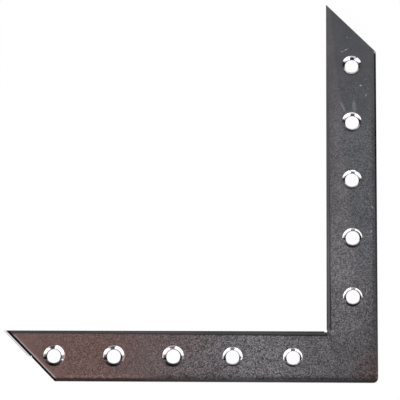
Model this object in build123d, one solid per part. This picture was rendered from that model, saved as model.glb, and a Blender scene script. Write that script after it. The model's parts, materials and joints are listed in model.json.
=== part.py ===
from build123d import *

import math
import os

# Flat corner bracket, one piece of zinc-plated sheet steel, in millimetres.
# It lies on its back face, with the countersinks up, towards +Z. The level leg
# runs towards -X and the upright leg towards +Y. The origin is on the back
# face, where the two rows of screw holes would cross.

# Sheet and legs. A leg's length runs over all, from the outer side of the
# other leg to the tip of its mitred end.
thickness = 2.0
leg_width = 20.4
level_leg_length = 150.7
upright_leg_length = 156.3
outer_corner_radius = 2.0

# Mitred ends. Each slants back from a tip on the inner side of the leg. The
# shear leaves the cut sloping, so the back face reaches further than the front
# by the flare, measured square to the cut.
mitre_angle = 45.0
level_cut_flare = 0.65
upright_cut_flare = 0.15

# Countersunk screw holes, one row along each leg, the first of them one pitch
# from the crossing of the rows. The countersinks of the level leg were pressed
# deeper, which made them wider and drew their through holes in.
hole_pitch = 24.0
end_margin = 8.0
countersink_angle = 90.0
level_hole_diameter = 5.7
level_countersink_diameter = 8.7
upright_hole_diameter = 5.8
upright_countersink_diameter = 8.3

# Edges of the front face, pressed down where the die bore on them, and the
# small round relief that the punch left in the inner corner
side_roll_width = 1.5
side_roll_depth = 0.3
end_roll_width = 0.6
end_roll_depth = 0.15
corner_relief_radius = 0.45
corner_relief_offset = 0.2

# Length by which a cutting tool stands clear of the sheet
overshoot = 1.0


half_width = leg_width / 2
mitre_run = leg_width / math.tan(math.radians(mitre_angle))
level_tip_x = half_width - level_leg_length
upright_tip_y = upright_leg_length - half_width


def make_sheet():
    """The L cut square from the sheet, its legs still running to their tips."""
    level_leg = Pos(level_tip_x, -half_width) * Box(
        level_leg_length, leg_width, thickness, align=Align.MIN
    )
    upright_leg = Pos(-half_width, -half_width) * Box(
        leg_width, upright_leg_length, thickness, align=Align.MIN
    )
    sheet = level_leg + upright_leg
    outer_corner = sheet.edges().filter_by(Axis.Z).sort_by(lambda edge: edge.center().X - edge.center().Y)[-1]
    return fillet(outer_corner, outer_corner_radius)


def mitre_plane(tip, outward, flare):
    """Plane of a sheared end, through the tip at the back face, facing out of the metal."""
    normal = Vector(outward.X * thickness, outward.Y * thickness, flare)
    return Plane(origin=tip, z_dir=normal)


def mitre_ends(sheet):
    """Shear both legs off along their mitres."""
    lean = math.radians(mitre_angle)
    level_end = mitre_plane(
        Vector(level_tip_x, half_width, 0),
        Vector(-math.sin(lean), -math.cos(lean), 0),
        level_cut_flare,
    )
    upright_end = mitre_plane(
        Vector(-half_width, upright_tip_y, 0),
        Vector(math.cos(lean), math.sin(lean), 0),
        upright_cut_flare,
    )
    for end in (level_end, upright_end):
        sheet = split(sheet, bisect_by=end, keep=Keep.BOTTOM)
    return sheet


def roll_edges(sheet):
    """Press the front edges down, wide along the sides and narrow at the ends."""
    front = sheet.faces().sort_by(Axis.Z)[-1]
    side_edges = front.edges().filter_by(lambda edge: not is_end_edge(edge))
    sheet = chamfer(side_edges, side_roll_width, side_roll_depth, reference=front)
    front = sheet.faces().sort_by(Axis.Z)[-1]
    end_edges = front.edges().filter_by(is_end_edge)
    return chamfer(end_edges, end_roll_width, end_roll_depth, reference=front)


def is_end_edge(edge):
    """Whether an edge of the front face is the straight, slanting one of a mitred end."""
    along = edge.tangent_at(0.5)
    slanting = min(abs(along.X), abs(along.Y)) > 0.1
    return slanting and edge.geom_type == GeomType.LINE


def screw_hole(hole_diameter, countersink_diameter):
    """Cutter for one countersunk hole, on the Z axis."""
    slope = math.tan(math.radians(countersink_angle / 2))
    cone_depth = (countersink_diameter - hole_diameter) / 2 / slope
    cone_height = cone_depth + overshoot
    shank = Pos(0, 0, thickness / 2) * Cylinder(hole_diameter / 2, thickness + 2 * overshoot)
    cone = Pos(0, 0, thickness - cone_depth) * Cone(
        hole_diameter / 2,
        hole_diameter / 2 + cone_height * slope,
        cone_height,
        align=(Align.CENTER, Align.CENTER, Align.MIN),
    )
    return shank + cone


def hole_distances(leg_length):
    """Distances of a leg's holes from the crossing, as far as its mitred end leaves room."""
    row_length = leg_length - half_width - mitre_run / 2
    count = int((row_length - end_margin) / hole_pitch)
    return [hole_pitch * (index + 1) for index in range(count)]


def make_bracket():
    """The finished bracket."""
    bracket = roll_edges(mitre_ends(make_sheet()))
    level_cutter = screw_hole(level_hole_diameter, level_countersink_diameter)
    for distance in hole_distances(level_leg_length):
        bracket -= Pos(-distance, 0) * level_cutter
    upright_cutter = screw_hole(upright_hole_diameter, upright_countersink_diameter)
    for distance in hole_distances(upright_leg_length):
        bracket -= Pos(0, distance) * upright_cutter
    relief = Pos(-half_width - corner_relief_offset, half_width, thickness / 2) * Cylinder(
        corner_relief_radius, thickness + 2 * overshoot
    )
    return bracket - relief


corner_bracket = make_bracket()
corner_bracket.label = "corner_bracket"

os.makedirs("parts", exist_ok=True)
export_step(corner_bracket, "parts/corner_bracket.step")
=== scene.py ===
import json
import math

import bmesh
import bpy
from mathutils import Euler, Matrix, Vector, noise


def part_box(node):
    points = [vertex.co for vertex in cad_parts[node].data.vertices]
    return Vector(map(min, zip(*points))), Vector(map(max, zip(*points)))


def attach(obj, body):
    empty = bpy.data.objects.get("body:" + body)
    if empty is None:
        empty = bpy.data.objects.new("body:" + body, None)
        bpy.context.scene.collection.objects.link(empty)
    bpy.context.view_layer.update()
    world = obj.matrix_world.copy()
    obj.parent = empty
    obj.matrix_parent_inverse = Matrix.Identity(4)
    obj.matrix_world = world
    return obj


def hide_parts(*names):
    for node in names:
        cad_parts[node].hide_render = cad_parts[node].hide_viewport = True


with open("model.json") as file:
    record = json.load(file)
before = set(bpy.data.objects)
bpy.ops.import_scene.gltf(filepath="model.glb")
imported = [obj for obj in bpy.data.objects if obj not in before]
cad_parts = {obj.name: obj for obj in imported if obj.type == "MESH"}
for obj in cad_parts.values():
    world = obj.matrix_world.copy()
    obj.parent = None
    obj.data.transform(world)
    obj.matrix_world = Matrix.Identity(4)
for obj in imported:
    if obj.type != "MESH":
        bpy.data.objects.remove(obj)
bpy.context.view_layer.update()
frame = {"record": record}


# The blank of the corner bracket is one L of 2 mm cold-rolled steel sheet. A die
# punches it out in one stroke and leaves a small round relief in the inner
# corner, and the legs are sheared off slantwise at their tips.
MM = 0.001
box_low, box_high = (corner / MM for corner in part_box("corner_bracket"))
thickness = box_high.z
half_width = box_high.x
level_tip = -box_low.x
upright_tip = box_high.y
outer_corner_radius = 2.0
relief_radius = 0.45
relief_offset = 0.2
relief_catch = 1.6 * relief_radius

# How close two points or two places along a leg count as one
weld = 1e-4
snug = 1e-3

# Each leg has the direction towards its tip and the direction of its inner side
LEGS = {
    "level": (Vector((-1, 0, 0)), Vector((0, 1, 0)), level_tip),
    "upright": (Vector((0, 1, 0)), Vector((-1, 0, 0)), upright_tip),
}


def hole_places(leg):
    """Distances of a leg's holes from the crossing of the two rows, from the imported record."""
    mounts = frame["record"]["mounts"]
    return sorted(max(map(abs, m["pos_m"][:2])) / MM for m in mounts if m["name"].startswith(leg))


def mitre(along, inward, tip):
    """The tip of a leg, and the direction that leads out of the metal square to its mitre."""
    return along * tip + inward * half_width, (along - inward).normalized()


def geometry(faces):
    """Faces with all their edges and corners, as the cutting operator takes them."""
    edges = {edge for face in faces for edge in face.edges}
    verts = {vert for face in faces for vert in face.verts}
    return list(verts) + list(edges) + list(faces)


def cut(mesh, faces, at, across, clear_outer=False):
    """Cut faces by the plane through a point and square to a direction."""
    bmesh.ops.bisect_plane(
        mesh,
        geom=geometry(faces),
        dist=weld,
        plane_co=at,
        plane_no=across,
        clear_outer=clear_outer,
    )


def rectangle(mesh, low_x, high_x, low_y, high_y):
    """One flat rectangular face."""
    place = Matrix.Translation(((low_x + high_x) / 2, (low_y + high_y) / 2, 0))
    size = Matrix.Diagonal((high_x - low_x, high_y - low_y, 1, 1))
    bmesh.ops.create_grid(mesh, x_segments=1, y_segments=1, size=0.5, matrix=place @ size)


sheet = bmesh.new()
rectangle(sheet, -level_tip, -half_width, -half_width, half_width)
rectangle(sheet, -half_width, half_width, -half_width, half_width)
rectangle(sheet, -half_width, half_width, half_width, upright_tip)
bmesh.ops.remove_doubles(sheet, verts=sheet.verts[:], dist=weld)

for leg in LEGS.values():
    tip_point, mitre_across = mitre(*leg)
    cut(sheet, sheet.faces[:], tip_point, mitre_across, clear_outer=True)

outer_corner = min(sheet.verts, key=lambda vert: vert.co.y - vert.co.x)
bmesh.ops.bevel(
    sheet,
    geom=[outer_corner],
    affect="VERTICES",
    offset=outer_corner_radius,
    segments=10,
    profile=0.5,
    material=-1,
)

# Rows of cuts run along both legs, close together in the pressed strips at
# their sides, and cross cuts frame a square tile round each hole
cell_length = 1.0
tile_half = 4.8
tile_cells = 20
rows_beyond_tile = (
    5.5, 6.2, 6.8, 7.3, 7.7, 8.0, 8.2, 8.4, 8.6, 8.8, 9.0, 9.2, 9.4, 9.6, 9.75, 9.9, 10.05
)
tile_rows = [tile_half * (2 * i / tile_cells - 1) for i in range(tile_cells + 1)]
rows = tile_rows + [side * row for row in rows_beyond_tile for side in (-1, 1)]
for along, inward, tip in LEGS.values():
    for row in rows:
        cut(sheet, sheet.faces[:], inward * row, inward)

# Cuts that follow a mitre, by how far in from it they lie, and how far from each
# of them the faces that it cuts may be
mitre_insets = (0.1, 0.25, 0.4, 0.55, 0.7, 0.85, 1.0, 1.2, 1.5)
mitre_cut_reach = 1.5


def beyond(mesh, along, place):
    """Faces of a leg that lie further towards its tip than a place."""
    return [face for face in mesh.faces if face.calc_center_median().dot(along) > place]


def run_edges(mesh, along, start, end):
    """Edges that run the whole way from one cross cut of a leg to the next."""
    found = []
    for edge in mesh.edges:
        ends = sorted(vert.co.dot(along) for vert in edge.verts)
        if abs(ends[0] - start) < snug and abs(ends[1] - end) < snug:
            found.append(edge)
    return found


for leg, (along, inward, tip) in LEGS.items():
    stops = [half_width]
    for place in hole_places(leg):
        stops += [place - tile_half, place + tile_half]
    for stop in stops[1:]:
        cut(sheet, beyond(sheet, along, half_width), along * stop, along)
    for index, (start, end) in enumerate(zip(stops, stops[1:])):
        on_tile = index % 2 == 1
        cells = tile_cells if on_tile else round((end - start) / cell_length)
        bmesh.ops.subdivide_edges(
            sheet, edges=run_edges(sheet, along, start, end), cuts=cells - 1, use_grid_fill=True
        )
    # The slanting end has cross cuts too, and a few that follow its mitre
    end_of_rows = stops[-1]
    while end_of_rows < tip - cell_length:
        end_of_rows += cell_length
        cut(sheet, beyond(sheet, along, stops[-1]), along * end_of_rows, along)
    last_hole = along * hole_places(leg)[-1]
    tip_point, mitre_across = mitre(along, inward, tip)
    for inset in mitre_insets:
        cut_point = tip_point - mitre_across * inset
        near = []
        for face in sheet.faces:
            middle = face.calc_center_median()
            off_tile = max(abs(part) for part in (middle - last_hole)) > tile_half
            if off_tile and (middle - cut_point).dot(mitre_across) > -mitre_cut_reach:
                near.append(face)
        cut(sheet, near, cut_point, mitre_across)

# The relief in the inner corner: the cells there go, and the rest is rounded
relief = Vector((-half_width - relief_offset, half_width, 0))
corner_cells = []
for face in sheet.faces:
    if (face.calc_center_median() - relief).length < relief_radius:
        corner_cells.append(face)
bmesh.ops.delete(sheet, geom=corner_cells, context="FACES")
for vert in sheet.verts:
    reach = vert.co - relief
    if vert.is_boundary and 0 < reach.length < relief_catch:
        if max(-vert.co.x - half_width, vert.co.y - half_width) < relief_radius:
            vert.co = relief + reach.normalized() * relief_radius


# The countersunk screw holes are punched one by one, then a cone tool presses
# their countersinks while the steel is cold. The cone walls come out smooth, and
# the face is drawn down a little round each rim.
rim_round = 0.16
land_round = 0.1

# For each hole from the corner on: how far it stands off its place on the grid,
# its radius, the radius of the rim, and how far the rim stands off the hole. The
# last row is the painted dark reflection spot on the far side of the cone: its
# bearing, and its painted lightness near the hole, halfway and near the rim.
HOLES = {
    "level": (
        ((0.41, -0.30), 2.69, 3.84, (-0.09, 0.08), (92, 0.40, 0.17, 0.55)),
        ((0.12, -0.12), 2.71, 3.96, (0.13, 0.11), (90, 0.90, 0.18, 0.42)),
        ((0.22, 0.04), 2.80, 4.30, (0.02, 0.08), (97, 1.60, 0.09, 0.90)),
        ((0.15, -0.04), 2.78, 4.31, (0.08, 0.14), (100, 0.50, 0.04, 0.60)),
        ((-0.28, 0.04), 2.78, 4.31, (0.26, 0.14), (101, 0.40, 0.01, 0.35)),
    ),
    "upright": (
        ((0.33, 0.24), 2.74, 3.84, (-0.05, -0.14), (82, 3.20, 0.65, 0.65)),
        ((0.33, 0.24), 2.76, 3.96, (-0.10, -0.17), (83, 1.55, 0.85, 0.90)),
        ((0.16, 0.12), 2.71, 3.88, (0.05, 0.06), (80, 0.22, 0.28, 2.80)),
        ((0.31, 0.12), 2.73, 3.98, (-0.10, 0.04), (85, 0.04, 0.15, 1.50)),
        ((0.22, -0.10), 2.69, 3.99, (0.08, 0.14), (86, 0.01, 0.03, 0.90)),
    ),
}

# Rings of edges round a hole: some on the way from its square tile to the rim,
# then some over the rim's rounding, down the cone, and over the land at the hole
ways_to_rim = (0.25, 0.33, 0.5)
rim_rings = (0.9, 0.35, -0.2, -1.0)
cone_rings = (0.75, 0.5, 0.25)
land_rings = (1.0, 0.3, 0.0)


def bearing(offset):
    """Angle round a hole for a point on its square tile, even along the tile's sides."""
    if abs(offset.x) >= abs(offset.y):
        return math.radians(45) * offset.y / offset.x + (math.pi if offset.x < 0 else 0)
    return math.pi / 2 - math.radians(45) * offset.x / offset.y + (math.pi if offset.y < 0 else 0)


def cone_share(radius, hole, rim):
    """Share of the way from the hole to the rim of its countersink."""
    return min(max((radius - hole) / (rim - hole), 0), 1)


def draw_ring(mesh, edges, centre, bearings, radius, way=1.0):
    """Extrude a closed row of edges inwards onto a circle, or a part of the way towards it."""
    made = bmesh.ops.extrude_edge_only(mesh, edges=edges)
    fresh = [item for item in made["geom"] if isinstance(item, bmesh.types.BMVert)]
    turned = {}
    for vert in fresh:
        neighbours = [edge.other_vert(vert) for edge in vert.link_edges]
        old = min(
            (other for other in neighbours if other in bearings),
            key=lambda other: (other.co - vert.co).length,
        )
        turned[vert] = bearings[old]
    for vert, angle in turned.items():
        target = centre + radius * Vector((math.cos(angle), math.sin(angle), 0))
        vert.co = vert.co.lerp(target, way)
    return [item for item in made["geom"] if isinstance(item, bmesh.types.BMEdge)], turned


holes = []
for leg, (along, inward, tip) in LEGS.items():
    for place, (off_place, hole, rim, off_hole, spot) in zip(hole_places(leg), HOLES[leg]):
        tile_centre = along * place
        centre = tile_centre + Vector((*off_place, 0))
        rim_shift = Vector((*off_hole, 0))
        tile = []
        for face in sheet.faces:
            offset = face.calc_center_median() - tile_centre
            if max(abs(offset.x), abs(offset.y)) < tile_half:
                tile.append(face)
        in_tile = set(tile)
        around = {edge for face in tile for edge in face.edges}
        edges = [edge for edge in around if any(face not in in_tile for face in edge.link_faces)]
        bmesh.ops.delete(sheet, geom=tile, context="FACES")
        bearings = {vert: bearing(vert.co - tile_centre) for edge in edges for vert in edge.verts}
        radii = [rim + rim_round * ring for ring in rim_rings]
        radii += [hole + (rim - rim_round - hole) * ring for ring in cone_rings]
        radii += [hole + land_round * ring for ring in land_rings]
        for way in ways_to_rim:
            edges, bearings = draw_ring(sheet, edges, centre + rim_shift, bearings, radii[0], way)
        for radius in radii:
            moved = centre + rim_shift * cone_share(radius, hole, rim)
            edges, bearings = draw_ring(sheet, edges, moved, bearings, radius)
        holes.append((centre, hole, rim, rim_shift, spot))

bmesh.ops.recalc_face_normals(sheet, faces=sheet.faces[:])
if sheet.faces[0].normal.z < 0:
    bmesh.ops.reverse_faces(sheet, faces=sheet.faces[:])


def smooth(value, start, end):
    """Goes gently from 0 to 1 as a value goes from start to end."""
    share = min(max((value - start) / (end - start), 0), 1)
    return share * share * (3 - 2 * share)


def between(stops, at):
    """Level at a place between stops, which are pairs of a place and its level."""
    for (start, level), (end, next_level) in zip(stops, stops[1:]):
        if at <= end:
            return level + (next_level - level) * smooth(at, start, end)
    return stops[-1][1]


# Lightness painted round a cone by bearing for what it reflects, from the right over
# the far side. The wide cones of the level leg are painted as mirroring more of the
# dark, at their sides and near the eye.
NARROW_CONE_TONE = (
    (0, 1.0), (48, 1.0), (62, 1.5), (116, 1.5), (130, 1.0), (182, 1.0), (215, 3.8),
    (232, 3.8), (252, 1.9), (288, 1.9), (308, 3.2), (328, 3.2), (350, 1.0)
)
WIDE_CONE_TONE = (
    (0, 0.3), (10, 1.0), (98, 1.0), (106, 1.3), (118, 1.3), (130, 1.0), (158, 1.0), (178, 0.6),
    (195, 1.8), (215, 3.0), (232, 2.4), (252, 0.85), (288, 0.85), (308, 2.3), (328, 2.0), (340, 0.2)
)
wide_cone_starts = 1.35
wide_cone_ends = 1.45

# Half the angle of the painted dark reflection spot, the softness of its sides, and
# how much wider it gets towards the hole, or towards the rim of a wide cone
dark_reflection_spot = 16
dark_reflection_soft = 6
dark_reflection_taper = 0.3

# The painted light part, which stands for the lamps' reflection, runs over the far
# side of a cone from its right end to its left one, and both move round with each
# millimetre that the hole lies up the sheet. Beyond an end a painted dark part
# starts that reaches in past it, ever narrower.
left_end = 177
right_end_shift = 0.17
left_end_shift = 0.22
right_dark_start = -22
left_dark_start = -34
dark_start_fade = 12
DARK_PART_WIDTH = ((-6, 0.9), (30, 0.05))
dark_part_depth = 0.65
dark_part_soft_in = 0.3
dark_part_soft_out = 0.1

# Painted shade added beyond the ends of the cones that lie low down the sheet
low_cone_dark = 0.3
low_cone_soft = 6
low_cone_from = 20
low_cone_to = 75

# The thin painted shade line at the hole: how dark it is, how wide, and how it starts at an end
narrow_line_dark = 0.25
wide_line_dark = 0.55
line_from = 0.08
line_to = 0.2
line_start = -10
line_full = 5


def cone_lightness(turn, share, wide, spot, place):
    """Painted light and shade of a cone, for what it reflects, at a bearing and a share of the way
    from the hole to the rim.
    """
    around = between(NARROW_CONE_TONE, turn) * (1 - wide) + between(WIDE_CONE_TONE, turn) * wide
    spot_bearing, near_hole, halfway, near_rim = spot
    spot_reach = dark_reflection_spot * (1 + dark_reflection_taper * (1 - 2 * share) * (1 - 2 * wide))
    off_spot = abs(turn - spot_bearing) - spot_reach
    spot_tone = between(((0, near_hole), (0.5, halfway), (1, near_rim)), share)
    around *= 1 + (spot_tone - 1) * (1 - smooth(off_spot, -dark_reflection_soft, dark_reflection_soft))
    # The painted light part thins out from the hole's side towards both its ends, and a
    # thin painted shade line runs between it and the hole
    turned = (turn + 90) % 360 - 90
    from_right = turned - right_end_shift * place
    from_left = left_end - left_end_shift * place - turned
    if from_right < from_left:
        off_end, start, thinned = from_right, right_dark_start, 1 - wide
    else:
        off_end, start, thinned = from_left, left_dark_start, 1
    dark_share = between(((start, 0), (start + dark_start_fade, 1), *DARK_PART_WIDTH), off_end)
    in_dark_part = 1 - smooth(share, dark_share - dark_part_soft_in, dark_share + dark_part_soft_out)
    low_down = 1 - smooth(place, low_cone_from, low_cone_to)
    added = low_cone_dark * smooth(-off_end, -low_cone_soft, low_cone_soft) * low_down
    line = narrow_line_dark + (wide_line_dark - narrow_line_dark) * wide
    line *= (1 - smooth(share, line_from, line_to)) * smooth(off_end, line_start, line_full)
    return around * (1 - thinned * (dark_part_depth + added) * in_dark_part) * (1 - line)


# The cone's slope at its rim, which is steeper for each millimetre that the hole
# lies up the sheet, its slope at the hole, and the slope of the land at the hole
rim_slope = 0.79
steeper_by_place = 0.00105
narrow_hole_slope = 1.02
wide_hole_slope = 0.93
land_slope = 0.6
cone_edge_soft = 0.08
dent_reach = 0.55
dent_depth = 0.05
dent_roundness = 1.5

# The far wall of the hole that the eye sees gets a painted highlight where the cone
# above it is painted light: how far round from the middle of the far side it goes,
# and how bright it gets
bore_round_from = 95
bore_round_to = 75
bore_gain = 1.3


def hole_form(x, y):
    """Depth of a dent or cone at a point, its share of cone and of painted highlight on the bore, and
    the cone's painted light and shade.
    """
    for centre, hole, rim, rim_shift, spot in holes:
        radius = math.hypot(x - centre.x, y - centre.y)
        if radius > rim + rim_shift.length + dent_reach:
            continue
        share = cone_share(radius, hole, rim)
        moved = centre + rim_shift * share
        radius = math.hypot(x - moved.x, y - moved.y)
        if radius >= rim + rim_round:
            near_rim = 1 - smooth(radius, rim + rim_round, rim + dent_reach)
            return dent_depth * near_rim ** dent_roundness, 0, 0, 1
        wide = smooth(rim - hole, wide_cone_starts, wide_cone_ends)
        place = max(0, centre.y)
        slope = rim_slope + steeper_by_place * place
        slope_gain = narrow_hole_slope + (wide_hole_slope - narrow_hole_slope) * wide - slope
        straight = (rim - radius) * (slope + slope_gain * (1 - share) / 2)
        deep = math.hypot(straight, rim_round / 2) / 2 + straight / 2
        if radius < hole + land_round:
            deep += land_slope * (hole + land_round - radius)
        turn = math.degrees(math.atan2(y - moved.y, x - moved.x)) % 360
        bore = 1 - smooth(radius, hole + land_rings[1] * land_round, hole + land_round)
        bore *= smooth(abs(turn - 90), bore_round_from, bore_round_to)
        bore *= min(1, bore_gain * cone_lightness(turn, 0, wide, spot, place))
        cone = smooth(rim - radius, -cone_edge_soft, cone_edge_soft)
        return dent_depth + deep, cone, bore, cone_lightness(turn, share, wide, spot, place)
    return 0, 0, 0, 1


# The front is drawn out of the flat sheet. The die bore on its sides: the inner
# ones sank in flat strips with a crease along them, darkened with painted shade,
# and the outer ones were rounded. The shear left the level leg with a rolled black
# lip and a bright slope.
strip_depth = 0.13
strip_slope = 0.6
strip_slope_start = 0.15
strip_least_depth = 0.3
strip_edge_soft = 0.4
strip_wander = 0.07
STRIP_NOISE = (0, 0.35)
outer_round_width = 1.1
outer_round_depth = 0.16

# Of the pressed strip along each leg, by distance from the inner corner: its width,
# what it loses of that, and how deep the painted shade of its crease, its outermost
# rim and the rest is
STRIPS = {
    "level": (
        ((10, 1.55), (40, 1.35)),
        ((30, 0.0), (110, 0.5)),
        ((12, 0.92), (48, 0.58)),
        ((0, 0.5), (1, 0.5)),
        ((0, 0.44), (30, 0.5), (42, 0.48), (60, 0.27), (82, 0.2), (110, 0.32)),
    ),
    "upright": (
        ((5, 1.58), (30, 1.33)),
        ((30, 0.0), (90, 0.3)),
        ((0, 0.88), (12, 0.88), (24, 0.55), (45, 0.5), (65, 0.3), (95, 0.0)),
        ((12, 0.45), (95, 0.2)),
        ((0, 0.22), (30, 0.18), (85, 0.16), (105, 0.08), (115, 0.0)),
    ),
}
crease_inside = 0.3
crease_outside = 0.5
strip_rim_from = 0.25
strip_rim_to = 0.6

# In the corner the crease is a short valley of painted shade that runs out from the relief
valley_half_width = 0.45
valley_dark = 0.65
valley_fades = 2.0
valley_ends = 3.0


def wander(x, y, layer, scale):
    """A layer of smooth noise over the sheet, its waves finer as the scale is larger."""
    return noise.noise(Vector((x, y, layer)) * scale)


def peak(value, middle, half_span):
    """Goes straight up to 1 as a value comes to a middle, and down to 0 again."""
    return max(0, 1 - abs(value - middle) / half_span)


def side_distances(x, y):
    """Distances of a point from the inner and the outer side of the bracket."""
    if x < -half_width:
        inner = half_width - y
    elif y > half_width:
        inner = x + half_width
    else:
        inner = max(x + half_width, half_width - y)
    outer = min(half_width - x, y + half_width)
    bend = half_width - outer_corner_radius
    if x > bend and y < -bend:
        outer = outer_corner_radius - math.hypot(x - bend, y + bend)
    return inner, outer


def strip_form(x, y):
    """Width of the pressed strip at a point, and how deep the painted shade of its crease, its rim and
    the rest is.
    """
    reach = max(-x, y) - half_width
    strip = STRIPS["level" if x < -half_width else "upright"]
    width, lost, crease, rim, rest = (between(stops, reach) for stops in strip)
    return width - lost + strip_wander * wander(x, y, *STRIP_NOISE), crease, rim, rest


def inner_shade(x, y, inner):
    """Share of the light that the painted shade along the inner side leaves."""
    if x > -half_width and y < half_width:
        from_corner = math.hypot(x + half_width, half_width - y)
        valley = peak((x + y) / math.sqrt(2), 0, valley_half_width)
        return 1 - valley_dark * valley * (1 - smooth(from_corner, valley_fades, valley_ends))
    width, crease, rim, rest = strip_form(x, y)
    in_crease = peak(inner, width, crease_inside if inner < width else crease_outside)
    in_rim = 1 - smooth(inner, strip_rim_from, strip_rim_to)
    in_strip = 1 - smooth(inner, width, width + strip_edge_soft)
    return (1 - crease * in_crease) * (1 - rim * in_rim) * (1 - rest * in_strip)


# How deep the broad painted shade beside the right side is, and how far in it reaches
RIGHT_SHADE = ((-10, 0.22), (0, 0.24), (20, 0.28), (45, 0.12), (146, 0.1))
RIGHT_SHADE_REACH = ((-10, 13), (5, 9), (25, 5), (45, 3))
right_shade_from = 0.8

# How dark the painted shade line in the right side's rounding is, and the narrow painted band beside
# it
RIGHT_LINE = ((-10, 0.05), (0, 0.2), (30, 0.45), (60, 0.7), (95, 0.9))
RIGHT_BAND = ((0, 0.0), (12, 0.16), (22, 0.24), (40, 0.3), (62, 0.18), (90, 0.25), (110, 0.0))
right_line_place = 0.42
right_line_full = 0.16
right_line_fades = 0.42
right_band_full = 1.6
right_band_fades = 2.3

# The bottom side's painted light and shade by distance from the edge: broad painted
# shade near the corner, which turns crisp, with a painted light crest, between two
# places along the leg. Near the corner a row of pits darkens it.
BOTTOM_BROAD = ((0.4, 0.4), (3.8, 1.0))
BOTTOM_CRISP = ((1.1, 0.3), (1.45, 1.0))
BOTTOM_PITS = ((0, 0.0), (8, 0.45), (36, 0.45), (46, 0.0))
bottom_crisp_from = 75
bottom_crisp_to = 88
bottom_ripple = 0.16
RIPPLE_NOISE = (5, 0.9)
crest_light = 0.2
crest_place = 2.1
pit_place = 1.5
crest_half_width = 0.5
pit_half_width = 0.5

# Painted shade at the very edge all round the outside
edge_dark = 0.25
edge_full = 0.2
edge_fades = 0.6


def outer_shade(x, y, outer):
    """Share of the light that the painted shade of the rounded outer sides leaves."""
    right = half_width - x
    in_shade = 1 - smooth(right, right_shade_from, between(RIGHT_SHADE_REACH, y))
    in_line = 1 - smooth(abs(right - right_line_place), right_line_full, right_line_fades)
    in_band = 1 - smooth(right, right_band_full, right_band_fades)
    shade = 1 - between(RIGHT_SHADE, y) * in_shade
    shade *= 1 - between(RIGHT_LINE, y) * in_line
    shade *= 1 - between(RIGHT_BAND, y) * in_band
    bottom = y + half_width
    ripple = bottom_ripple * wander(x, y, *RIPPLE_NOISE)
    pits = between(BOTTOM_PITS, -x) * peak(bottom, pit_place * (1 + ripple), pit_half_width)
    broad = between(BOTTOM_BROAD, bottom + ripple)
    crisp = between(BOTTOM_CRISP, bottom + ripple)
    crisp += crest_light * peak(bottom, crest_place, crest_half_width)
    to_crisp = smooth(-x, bottom_crisp_from, bottom_crisp_to)
    shade *= (broad + (crisp - broad) * to_crisp) * (1 - pits)
    return shade * (1 - edge_dark * (1 - smooth(outer, edge_full, edge_fades)))


# How light the plating is along the middle of each leg, and how strong its grain.
# Up the upright leg its left part is lighter than its right one, and ends further
# and further to the left.
LEVEL_TONE = ((10, 0.67), (26, 0.84), (46, 1.069), (70, 0.856), (94, 0.818), (120, 0.8), (150, 0.837))
UPRIGHT_LEFT_TONE = (
    (0, 0.684), (16, 0.931), (37, 1.073), (62, 0.95), (88, 1.04), (107, 0.92), (125, 0.85)
)
UPRIGHT_RIGHT_TONE = (
    (0, 0.684), (16, 0.83), (43, 0.85), (63, 0.77), (90, 0.85), (107, 0.74), (146, 0.69)
)
LEFT_PART_ENDS = (
    (0, 3.0), (37, 1.5), (62, -0.5), (95, -4.0), (108, -4.8), (120, -6.6), (138, -8.2)
)
LEFT_PART_SOFT = ((100, 2.0), (120, 0.8))
LEVEL_GRAIN = ((0, 0.84), (36, 1.0), (60, 0.98), (84, 0.58), (108, 0.71), (122, 0.35), (140, 0.3))
UPRIGHT_GRAIN = (
    (0, 0.84), (16, 0.87), (37, 0.77), (62, 0.65), (85, 0.55), (107, 0.35), (122, 0.12)
)
# The painted shade along the left side of the upright leg, and how far in from there
# it is full and fades out
LEFT_SIDE_SHADE = ((45, 0.0), (75, 0.16), (112, 0.16), (128, 0.0))
left_side_full = 1
left_side_fades = 6
# How cold the left and the right part of the upright leg are, from its root up
LEFT_PART_COLD = ((15, 0.0), (50, 0.15))
RIGHT_PART_COLD = ((15, 0.0), (50, 0.75))
# The level leg turns brown between two places, and a brown stain lies in the corner
LEVEL_BROWN = ((40, 0.0), (112, 1.0))
STAIN_ACROSS = ((-6, 0.0), (9, 0.6))
STAIN_UP = ((-9.5, 1.0), (8, 0.0))
stain_dark = 0.14
cloud_depth = 0.12
CLOUD_NOISE = (7, 0.2)
DRIFT_NOISE = (3, 0.09)
brown_drift = 8
stain_drift = 5
left_part_drift = 1.25


def plating(x, y):
    """Lightness of the plating at a point, its warmth from blue-grey to brown, and its grain."""
    drift = wander(x, y, *DRIFT_NOISE)
    stain = between(STAIN_ACROSS, x + stain_drift * drift) * between(STAIN_UP, y + stain_drift * drift)
    cloud = (1 + cloud_depth * wander(x, y, *CLOUD_NOISE)) * (1 - stain_dark * stain)
    if y > half_width or (x > -half_width and y > -x):
        end = between(LEFT_PART_ENDS, y)
        soft = between(LEFT_PART_SOFT, y)
        on_right = smooth(x + left_part_drift * drift * soft, end - soft, end + soft)
        at_side = 1 - smooth(x + half_width, left_side_full, left_side_fades)
        left = between(UPRIGHT_LEFT_TONE, y) * (1 - between(LEFT_SIDE_SHADE, y) * at_side)
        tone = left + (between(UPRIGHT_RIGHT_TONE, y) - left) * on_right
        left_cold, right_cold = between(LEFT_PART_COLD, y), between(RIGHT_PART_COLD, y)
        cold = left_cold + (right_cold - left_cold) * on_right
        return tone * cloud, stain - cold, between(UPRIGHT_GRAIN, y)
    brown = between(LEVEL_BROWN, -x + brown_drift * drift) + stain
    return between(LEVEL_TONE, -x + half_width) * cloud, brown, between(LEVEL_GRAIN, -x)


flat_faces = sheet.faces[:]
made = bmesh.ops.extrude_face_region(sheet, geom=geometry(flat_faces), use_keep_orig=True)
top_verts = [item for item in made["geom"] if isinstance(item, bmesh.types.BMVert)]
bmesh.ops.translate(sheet, verts=top_verts, vec=(0, 0, thickness))
bmesh.ops.recalc_face_normals(sheet, faces=sheet.faces[:])

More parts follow.
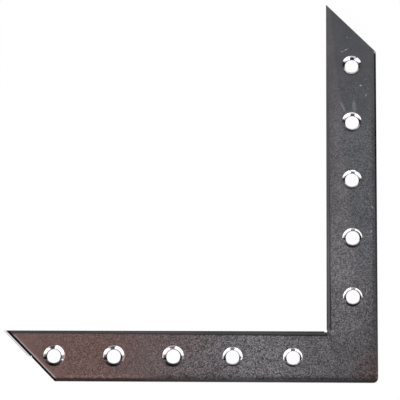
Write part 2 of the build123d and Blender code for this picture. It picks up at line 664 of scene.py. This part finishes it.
# Walls get rows of edges, so that the bands that the shear left are shaped
wall_cuts = 5
wall_edges = []
for edge in sheet.edges:
    if abs(edge.verts[0].co.z - edge.verts[1].co.z) > thickness / 2:
        wall_edges.append(edge)
bmesh.ops.subdivide_edges(sheet, edges=wall_edges, cuts=wall_cuts, use_grid_fill=True)

# What the finish needs to know of each place is carried by the mesh: how light the
# plating is, with painted shade and the cones' painted light and shade in it, how
# warm it is, how strong its grain, how polished it is, and how bare or painted with
# a highlight
lightness = sheet.verts.layers.float.new("lightness")
warmth = sheet.verts.layers.float.new("warmth")
grain = sheet.verts.layers.float.new("grain")
polish = sheet.verts.layers.float.new("polish")
bare_and_highlight = sheet.verts.layers.float.new("bare_and_highlight")
cone_warmth = 0.15
bore_highlight = 0.5
warmth_from = 0.6
warmth_full = 1.8
grain_from = 0.5
grain_full = 1.2
deepest = 0.8 * thickness
for vert in sheet.verts:
    x, y, z = vert.co
    inner, outer = side_distances(x, y)
    width, crease = strip_form(x, y)[:2]
    dent, cone, bore, cone_tone = hole_form(x, y)
    step = 1 - smooth(inner, width - strip_slope_start, width + strip_slope)
    sink = strip_depth * step * (strip_least_depth + crease)
    sink += outer_round_depth * max(0, 1 - outer / outer_round_width) ** 2
    tone, warm, strength = plating(x, y)
    shade = inner_shade(x, y, inner) * outer_shade(x, y, outer)
    in_face = smooth(inner, width, width + strip_edge_soft)
    in_face *= smooth(outer, grain_from, grain_full)
    # The lightness is the plating's tone times the painted shade of the sides, and on the cones their
    # painted light and shade
    vert[lightness] = tone * shade * (1 - cone) + cone_tone * cone
    vert[warmth] = warm * (1 - (1 - cone_warmth) * cone)
    vert[warmth] *= smooth(inner, warmth_from, warmth_full)
    vert[grain] = strength * in_face * (1 - cone)
    vert[polish] = cone
    # The far wall of each bore gets a painted highlight
    vert[bare_and_highlight] = bore_highlight * bore
    vert.co.z = z - z / thickness * min(sink + dent, deepest)

# The ends. The cut of the level leg leans in towards the front, and its back edge
# stands out further on the inner half, above a notch, where it is torn.
end_reach = 2.5
upright_cut_lean = 0.15
heel_bare = 0.8
heel_full = 0.5
heel_fades = 1.1
lip_width = 1.0
lip_depth = 0.12
lip_grain_from = 1.0
lip_grain_full = 1.6
slope_reach = 0.42
slope_back_outer = 0.2
slope_back_inner = -0.4
notch_low = -0.07
notch_high = 0.03
slope_lightness = 0.06
on_cut = 0.01
# How bare the slope of the level leg's end is, from the back up. Elsewhere it is painted near black,
# and at its foot this is a painted shade line.
SLOPE_BARE = ((0, 0.0), (0.17, 0.1), (0.33, 0.9), (0.67, 0.9), (0.95, 0.0))
for leg, (along, inward, tip) in LEGS.items():
    tip_point, mitre_across = mitre(along, inward, tip)
    for vert in sheet.verts:
        inset = (tip_point - vert.co).dot(mitre_across)
        if inset > end_reach:
            continue
        height = vert.co.z / thickness
        row = vert.co.dot(inward) / half_width
        follow = 1 - smooth(inset, 0, end_reach)
        if leg == "upright":
            heel = (vert.co - Vector((half_width, tip - 2 * half_width, thickness))).length
            vert[bare_and_highlight] = max(vert[bare_and_highlight], heel_bare * (1 - smooth(heel, heel_full, heel_fades)))
            vert.co -= along * (upright_cut_lean * math.sqrt(2) * follow * height)
            continue
        vert.co.z -= height * lip_depth * max(0, 1 - inset / lip_width) ** 2
        if height > SLOPE_BARE[-1][0]:
            vert[grain] *= smooth(inset, lip_grain_from, lip_grain_full)
        elif inset < on_cut:
            vert[bare_and_highlight] = between(SLOPE_BARE, height)
            vert[lightness] = slope_lightness
        back = between(((notch_low, slope_back_outer), (notch_high, slope_back_inner)), row)
        reach = slope_reach * height + back * (1 - height)
        vert.co -= along * (reach * math.sqrt(2) * follow)

sharp_turn = math.radians(35)
bracket_mesh = bpy.data.meshes.new("bracket_sheet")
bmesh.ops.scale(sheet, vec=(MM, MM, MM), verts=sheet.verts[:])
for face in sheet.faces:
    face.smooth = True
for edge in sheet.edges:
    if len(edge.link_faces) == 2:
        edge.smooth = edge.calc_face_angle(0) < sharp_turn
sheet.to_mesh(bracket_mesh)
sheet.free()
bracket = bpy.data.objects.new("bracket_sheet", bracket_mesh)
bpy.context.collection.objects.link(bracket)
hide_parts("corner_bracket")
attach(bracket, "root")


# The finish is a thin bright zinc plating on cold-rolled steel, dulled by age.
# To the eye it is a dark, semi-gloss grey metal with a fine mottled grain, browner
# towards the tip of the level leg, with a few light and dark marks of use.
def to_linear(hex_colour):
    """An sRGB hex colour as linear red, green, blue and alpha."""
    parts = [int(hex_colour[i : i + 2], 16) / 255 for i in (0, 2, 4)]
    linear = [p / 12.92 if p <= 0.04045 else ((p + 0.055) / 1.055) ** 2.4 for p in parts]
    return (*linear, 1.0)


def add(tree, kind, settings=None, links=None):
    """A new node. Its inputs take values, sockets, or nodes for their first output."""
    node = tree.nodes.new(kind)
    for name, value in (settings or {}).items():
        setattr(node, name, value)
    for name, value in (links or {}).items():
        if isinstance(value, bpy.types.Node):
            value = value.outputs[0]
        if isinstance(value, bpy.types.NodeSocket):
            tree.links.new(value, node.inputs[name])
        else:
            node.inputs[name].default_value = value
    return node


zinc_grey = to_linear("807c80")
zinc_brown = to_linear("8a6f6b")
zinc_blue = to_linear("7b7d83")
rubbed_steel = to_linear("d9c8ca")
torn_black = to_linear("141012")
bare_steel_and_highlight = to_linear("f6f6f4")

zinc = bpy.data.materials.new("zinc_plated_cold_rolled_steel")
zinc.use_nodes = True
tree = zinc.node_tree
tree.nodes.clear()
where = add(tree, "ShaderNodeTexCoord").outputs["Object"]
carried = {
    name: add(tree, "ShaderNodeAttribute", {"attribute_name": name}).outputs["Fac"]
    for name in ("lightness", "warmth", "grain", "polish", "bare_and_highlight")
}

# The crystals of the zinc are too fine to show, so they are drawn 0.3 mm across,
# the finest that one pixel still tells, with coarser crumbs of 1.3 mm among them
crystal_size = 0.3 * MM
crystal_skew = 1.6
crystal_strength = 1.65
crystal_middle = -0.64
crumb_size = 1.3 * MM
crumb_strength = 0.4
crystals = add(
    tree,
    "ShaderNodeTexVoronoi",
    {"voronoi_dimensions": "2D"},
    {"Vector": where, "Scale": 1 / crystal_size},
)
crystal = add(tree, "ShaderNodeSeparateColor", links={"Color": crystals.outputs["Color"]})
crystal = add(tree, "ShaderNodeMath", {"operation": "POWER"}, {0: crystal, 1: crystal_skew})
crystal = add(
    tree,
    "ShaderNodeMath",
    {"operation": "MULTIPLY_ADD"},
    {0: crystal, 1: crystal_strength, 2: crystal_middle},
)
crumbs = add(
    tree, "ShaderNodeTexNoise", links={"Vector": where, "Scale": 1 / crumb_size, "Detail": 1.0}
)
crumb = add(
    tree,
    "ShaderNodeMath",
    {"operation": "MULTIPLY_ADD"},
    {0: crumbs, 1: crumb_strength, 2: -crumb_strength / 2},
)
mottle = add(tree, "ShaderNodeMath", {"operation": "ADD"}, {0: crystal, 1: crumb})
mottle = add(
    tree, "ShaderNodeMath", {"operation": "MULTIPLY_ADD"}, {0: mottle, 1: carried["grain"], 2: 1.0}
)
level = add(
    tree, "ShaderNodeMath", {"operation": "MULTIPLY"}, {0: mottle, 1: carried["lightness"]}
)
level = add(tree, "ShaderNodeMath", {"operation": "MAXIMUM"}, {0: level, 1: 0.0})

tone = add(
    tree,
    "ShaderNodeMix",
    {"data_type": "RGBA"},
    {0: carried["warmth"], 6: zinc_grey, 7: zinc_brown},
).outputs[2]
cold = add(tree, "ShaderNodeMath", {"operation": "MULTIPLY"}, {0: carried["warmth"], 1: -1.0})
tone = add(
    tree, "ShaderNodeMix", {"data_type": "RGBA"}, {0: cold, 6: tone, 7: zinc_blue}
).outputs[2]
tone = add(tree, "ShaderNodeVectorMath", {"operation": "SCALE"}, {0: tone, "Scale": level})

# The torn band of the level leg's end lies square to the cut, from its front edge
# inwards, and its inner side is frayed. The lip beside it is rubbed bright, but
# not where it crosses the strips along the leg's sides.
front_edge = (level_tip - half_width) / math.sqrt(2) - slope_reach
torn_width = 0.86
torn_soft = 0.08
fray_size = 2.0 * MM
fray_depth = 0.25
ridge_width = 0.85
ridge_full = 0.2
ridge_strength = 0.6
outwards = Vector((-1, -1, 0)).normalized()
across = add(tree, "ShaderNodeSeparateXYZ", links={"Vector": where}).outputs["Y"]
frayed = add(
    tree, "ShaderNodeTexNoise", links={"Vector": where, "Scale": 1 / fray_size, "Detail": 2.0}
)
outward = add(tree, "ShaderNodeVectorMath", {"operation": "DOT_PRODUCT"}, {0: where, 1: outwards})
outward = add(
    tree,
    "ShaderNodeMath",
    {"operation": "MULTIPLY_ADD"},
    {0: frayed, 1: fray_depth * MM, 2: outward.outputs["Value"]},
)
torn_start = front_edge - torn_width + fray_depth / 2
torn = add(
    tree,
    "ShaderNodeMapRange",
    {"interpolation_type": "SMOOTHSTEP"},
    {
        "Value": outward,
        "From Min": (torn_start - torn_soft) * MM,
        "From Max": (torn_start + torn_soft) * MM,
    },
)
ridge = add(
    tree,
    "ShaderNodeMapRange",
    {"interpolation_type": "SMOOTHSTEP"},
    {
        "Value": outward,
        "From Min": (torn_start - ridge_width) * MM,
        "From Max": (torn_start - ridge_full) * MM,
    },
)

# How strongly the lip is rubbed across the leg: from where it starts on one side
# of the middle row, to where it is full, and the least share that is left
RUBBED = ((9.0, 0.0, 0.6), (8.8, 8.0, 0.0), (-9.3, -8.5, 0.0))
for rubbed_from, rubbed_to, least in RUBBED:
    rubbed = add(
        tree,
        "ShaderNodeMapRange",
        {"interpolation_type": "SMOOTHSTEP"},
        {
            "Value": across,
            "From Min": rubbed_from * MM,
            "From Max": rubbed_to * MM,
            "To Min": least,
        },
    )
    ridge = add(tree, "ShaderNodeMath", {"operation": "MULTIPLY"}, {0: ridge, 1: rubbed})
ridge = add(tree, "ShaderNodeMath", {"operation": "MULTIPLY"}, {0: ridge, 1: ridge_strength})
tone = add(
    tree, "ShaderNodeMix", {"data_type": "RGBA"}, {0: ridge, 6: tone, 7: rubbed_steel}
).outputs[2]
tone = add(
    tree, "ShaderNodeMix", {"data_type": "RGBA"}, {0: torn, 6: tone, 7: torn_black}
).outputs[2]

# Marks of use on the front, and two painted highlights: place, bearing, half length and half width,
# strength
LIGHT_MARKS = (
    ((-2.2, 126.35), 30, 2.0, 0.11, 0.4),
    ((-2.06, 126.55), 25, 0.5, 0.24, 0.7),
    ((-3.7, 125.75), 35, 0.35, 0.26, 0.7),
    ((-1.5, 131.7), 0, 0.4, 0.25, 0.4),
    ((0.0, 131.5), 0, 0.3, 0.2, 0.3),
    ((3.85, 111.3), 20, 0.6, 0.25, 0.9),
    ((5.9, 114.0), 80, 0.4, 0.2, 0.3),
    ((6.0, 107.2), 60, 0.9, 0.3, 0.35),
    ((-3.4, 102.4), 112, 2.6, 0.6, 0.22),
    ((1.2, 102.6), 95, 2.8, 0.9, 0.2),
    ((8.4, 60.5), 115, 0.8, 0.22, 0.6),
    ((7.8, 50.7), 60, 0.7, 0.3, 0.5),
    ((-1.85, 54.9), 0, 0.3, 0.25, 0.6),
    ((-2.7, 59.3), -43, 2.5, 0.13, 0.3),
    # These two are painted highlights on the rounded right side near the outer corner
    ((9.8, -6.3), 90, 0.5, 0.25, 0.2),
    ((9.8, -8.2), 90, 0.4, 0.25, 0.25),
    ((-129.25, -0.35), 45, 0.35, 0.3, 0.9),
)
DARK_MARKS = (
    ((-21.8, 7.3), -33, 1.6, 0.2, 0.6),
    ((-35.6, -0.8), -45, 0.7, 0.35, 0.75),
    ((-42.1, -6.8), 40, 0.7, 0.3, 0.6),
    ((-5.9, 13.6), 0, 0.4, 0.3, 0.6),
    ((-10.2, 8.95), 0, 0.75, 0.4, 0.8),
    ((-9.0, 12.4), 80, 1.1, 0.4, 0.5),
)
mark_ends = 1.15
mark_full = 0.5
for marks, mark_colour in ((LIGHT_MARKS, "dcdce0"), (DARK_MARKS, "1c1a1d")):
    for (x, y), turn, half_length, half_wide, strength in marks:
        moved = add(
            tree,
            "ShaderNodeMapping",
            {"vector_type": "TEXTURE"},
            {
                "Vector": where,
                "Location": (x * MM, y * MM, 0),
                "Rotation": (0, 0, math.radians(turn)),
                "Scale": (half_length * MM, half_wide * MM, 1),
            },
        )
        away = add(tree, "ShaderNodeVectorMath", {"operation": "LENGTH"}, {0: moved}).outputs["Value"]
        covered = add(
            tree,
            "ShaderNodeMapRange",
            {"interpolation_type": "SMOOTHSTEP"},
            {"Value": away, "From Min": mark_ends, "From Max": mark_full, "To Max": strength},
        )
        tone = add(
            tree,
            "ShaderNodeMix",
            {"data_type": "RGBA"},
            {0: covered, 6: tone, 7: to_linear(mark_colour)},
        ).outputs[2]

# Bare steel, and the painted highlight on the far wall of each bore, are mixed in as near-white
tone = add(
    tree, "ShaderNodeMix", {"data_type": "RGBA"}, {0: carried["bare_and_highlight"], 6: tone, 7: bare_steel_and_highlight}
).outputs[2]

# The crumbs stand out a little, and what is pressed smooth, bare or painted with a highlight is
# glossier
crumb_height = 0.02 * MM
crumb_sharpness = 0.6
plating_roughness = 0.34
pressed_roughness = 0.12
raised = add(tree, "ShaderNodeMath", {"operation": "MULTIPLY"}, {0: crumbs, 1: carried["grain"]})
bump = add(
    tree,
    "ShaderNodeBump",
    links={"Height": raised, "Distance": crumb_height, "Strength": crumb_sharpness},
)
pressed = add(
    tree, "ShaderNodeMath", {"operation": "MAXIMUM"}, {0: carried["polish"], 1: carried["bare_and_highlight"]}
)
rough = add(
    tree,
    "ShaderNodeMapRange",
    links={"Value": pressed, "To Min": plating_roughness, "To Max": pressed_roughness},
)
shader = add(
    tree,
    "ShaderNodeBsdfPrincipled",
    links={"Base Color": tone, "Metallic": 1.0, "Roughness": rough, "Normal": bump},
)
add(tree, "ShaderNodeOutputMaterial", links={"Surface": shader})
bracket.data.materials.append(zinc)


# The bracket lies on a sheet of white paper on a table, which runs on far
# behind it. Eye and metal see it as plain white, and it takes a soft shadow.
floor_size = 6.0
floor_gap = 0.02 * MM
table = bmesh.new()
bmesh.ops.create_grid(table, x_segments=1, y_segments=1, size=floor_size / 2)
floor_mesh = bpy.data.meshes.new("white_table")
table.to_mesh(floor_mesh)
table.free()
floor_mesh.transform(Matrix.Translation((0, 0, -floor_gap)))
floor = bpy.data.objects.new("white_table", floor_mesh)
bpy.context.collection.objects.link(floor)

paper_whiteness = 0.98
paper = bpy.data.materials.new("matt_white_paper")
paper.use_nodes = True
tree = paper.node_tree
tree.nodes.clear()
path = add(tree, "ShaderNodeLightPath").outputs
seen = add(
    tree,
    "ShaderNodeMath",
    {"operation": "MAXIMUM"},
    {0: path["Is Camera Ray"], 1: path["Is Glossy Ray"]},
)
seen = add(
    tree, "ShaderNodeMath", {"operation": "MAXIMUM"}, {0: seen, 1: path["Is Transmission Ray"]}
)
seen = add(tree, "ShaderNodeMath", {"operation": "MULTIPLY"}, {0: seen, 1: paper_whiteness})
matt = add(tree, "ShaderNodeBsdfDiffuse", links={"Color": to_linear("f4f4f4")})
white = add(tree, "ShaderNodeEmission", links={"Color": (1, 1, 1, 1), "Strength": 1.0})
both = add(tree, "ShaderNodeMixShader", links={0: seen, 1: matt, 2: white})
add(tree, "ShaderNodeOutputMaterial", links={"Surface": both})
floor.data.materials.append(paper)


# Soft studio light: a broad even light overhead, which falls off to the sides,
# and two long low lamps left and right in front of the bracket, with a pale
# screen between them. Nothing light stands behind the bracket.
world = bpy.data.worlds.new("studio")
bpy.context.scene.world = world
world.use_nodes = True
tree = world.node_tree
tree.nodes.clear()
direction = add(tree, "ShaderNodeTexCoord").outputs["Generated"]
overhead_centre = Vector((-0.06, 0.1, 1)).normalized()
overhead_level = 0.64
side_level = 0.2
behind_level = 0.03
screen_level = 1.4
towards = add(
    tree, "ShaderNodeVectorMath", {"operation": "DOT_PRODUCT"}, {0: direction, 1: overhead_centre}
)
overhead = add(
    tree,
    "ShaderNodeMapRange",
    {"interpolation_type": "SMOOTHSTEP"},
    {
        "Value": towards.outputs["Value"],
        "From Min": 0.72,
        "From Max": 0.985,
        "To Min": side_level,
        "To Max": overhead_level,
    },
)

# Low down it is dark behind the bracket, and the screen stands in front of it,
# brighter towards its top
flat = add(tree, "ShaderNodeVectorMath", {"operation": "MULTIPLY"}, {0: direction, 1: (1, 1, 0)})
flat = add(tree, "ShaderNodeVectorMath", {"operation": "NORMALIZE"}, {0: flat})
flat = add(tree, "ShaderNodeSeparateXYZ", links={"Vector": flat})
rise = add(tree, "ShaderNodeSeparateXYZ", links={"Vector": direction})
behind = add(
    tree,
    "ShaderNodeMapRange",
    {"interpolation_type": "SMOOTHSTEP"},
    {
        "Value": flat.outputs["Y"],
        "From Min": 0.3,
        "From Max": 0.85,
        "To Min": 2 * side_level,
        "To Max": behind_level,
    },
)
screen = add(
    tree,
    "ShaderNodeMapRange",
    {"interpolation_type": "SMOOTHSTEP"},
    {"Value": flat.outputs["Y"], "From Min": -0.78, "From Max": -0.93, "To Max": screen_level},
)
brighter = add(
    tree,
    "ShaderNodeMapRange",
    links={"Value": rise.outputs["Z"], "From Min": 0.1, "From Max": 0.4, "To Min": 0.5, "To Max": 2.0},
)
screen = add(tree, "ShaderNodeMath", {"operation": "MULTIPLY"}, {0: screen, 1: brighter})
low_part = add(tree, "ShaderNodeMath", {"operation": "ADD"}, {0: behind, 1: screen})
high_up = add(
    tree,
    "ShaderNodeMapRange",
    {"interpolation_type": "SMOOTHSTEP"},
    {"Value": rise.outputs["Z"], "From Min": 0.38, "From Max": 0.7},
)
radiance = add(
    tree, "ShaderNodeMix", {"data_type": "FLOAT"}, {0: high_up, 2: low_part, 3: overhead}
)
sky = add(tree, "ShaderNodeBackground", links={"Color": (1, 1, 1, 1), "Strength": radiance})
add(tree, "ShaderNodeOutputWorld", links={"Surface": sky})

lamp_height = 0.21
lamp_foot = 0.005
lamp_radiance = 6.0
for name, start, end in (
    ("lamp_left", Vector((-0.30, 0.098, 0)), Vector((-0.32, -0.8, 0))),
    ("lamp_right", Vector((0.2, -0.8, 0)), Vector((0.19, 0.08, 0))),
):
    span = end - start
    lamp = bpy.data.lights.new(name, "AREA")
    lamp.shape = "RECTANGLE"
    lamp.size = span.length
    lamp.size_y = lamp_height
    lamp.energy = lamp_radiance * math.pi * span.length * lamp_height
    stand = bpy.data.objects.new(name, lamp)
    stand.location = (start + end) / 2 + Vector((0, 0, lamp_height / 2 + lamp_foot))
    stand.rotation_euler = Vector((-span.y, span.x, 0)).to_track_quat("-Z", "Y").to_euler()
    bpy.context.collection.objects.link(stand)


# The camera hangs nearly straight above, a little in front of the level leg,
# with a long lens.
camera = bpy.data.cameras.new("camera")
camera.sensor_width = 36.0
camera.lens = 156.11
camera.clip_start = 0.01
camera.clip_end = 20.0
viewer = bpy.data.objects.new("camera", camera)
viewer.location = (-0.00575, -0.06610, 0.69505)
viewer.rotation_euler = Euler((math.radians(10.632), math.radians(4.483), math.radians(0.663)))
bpy.context.collection.objects.link(viewer)
bpy.context.scene.camera = viewer
bpy.context.scene.view_settings.view_transform = "Standard"
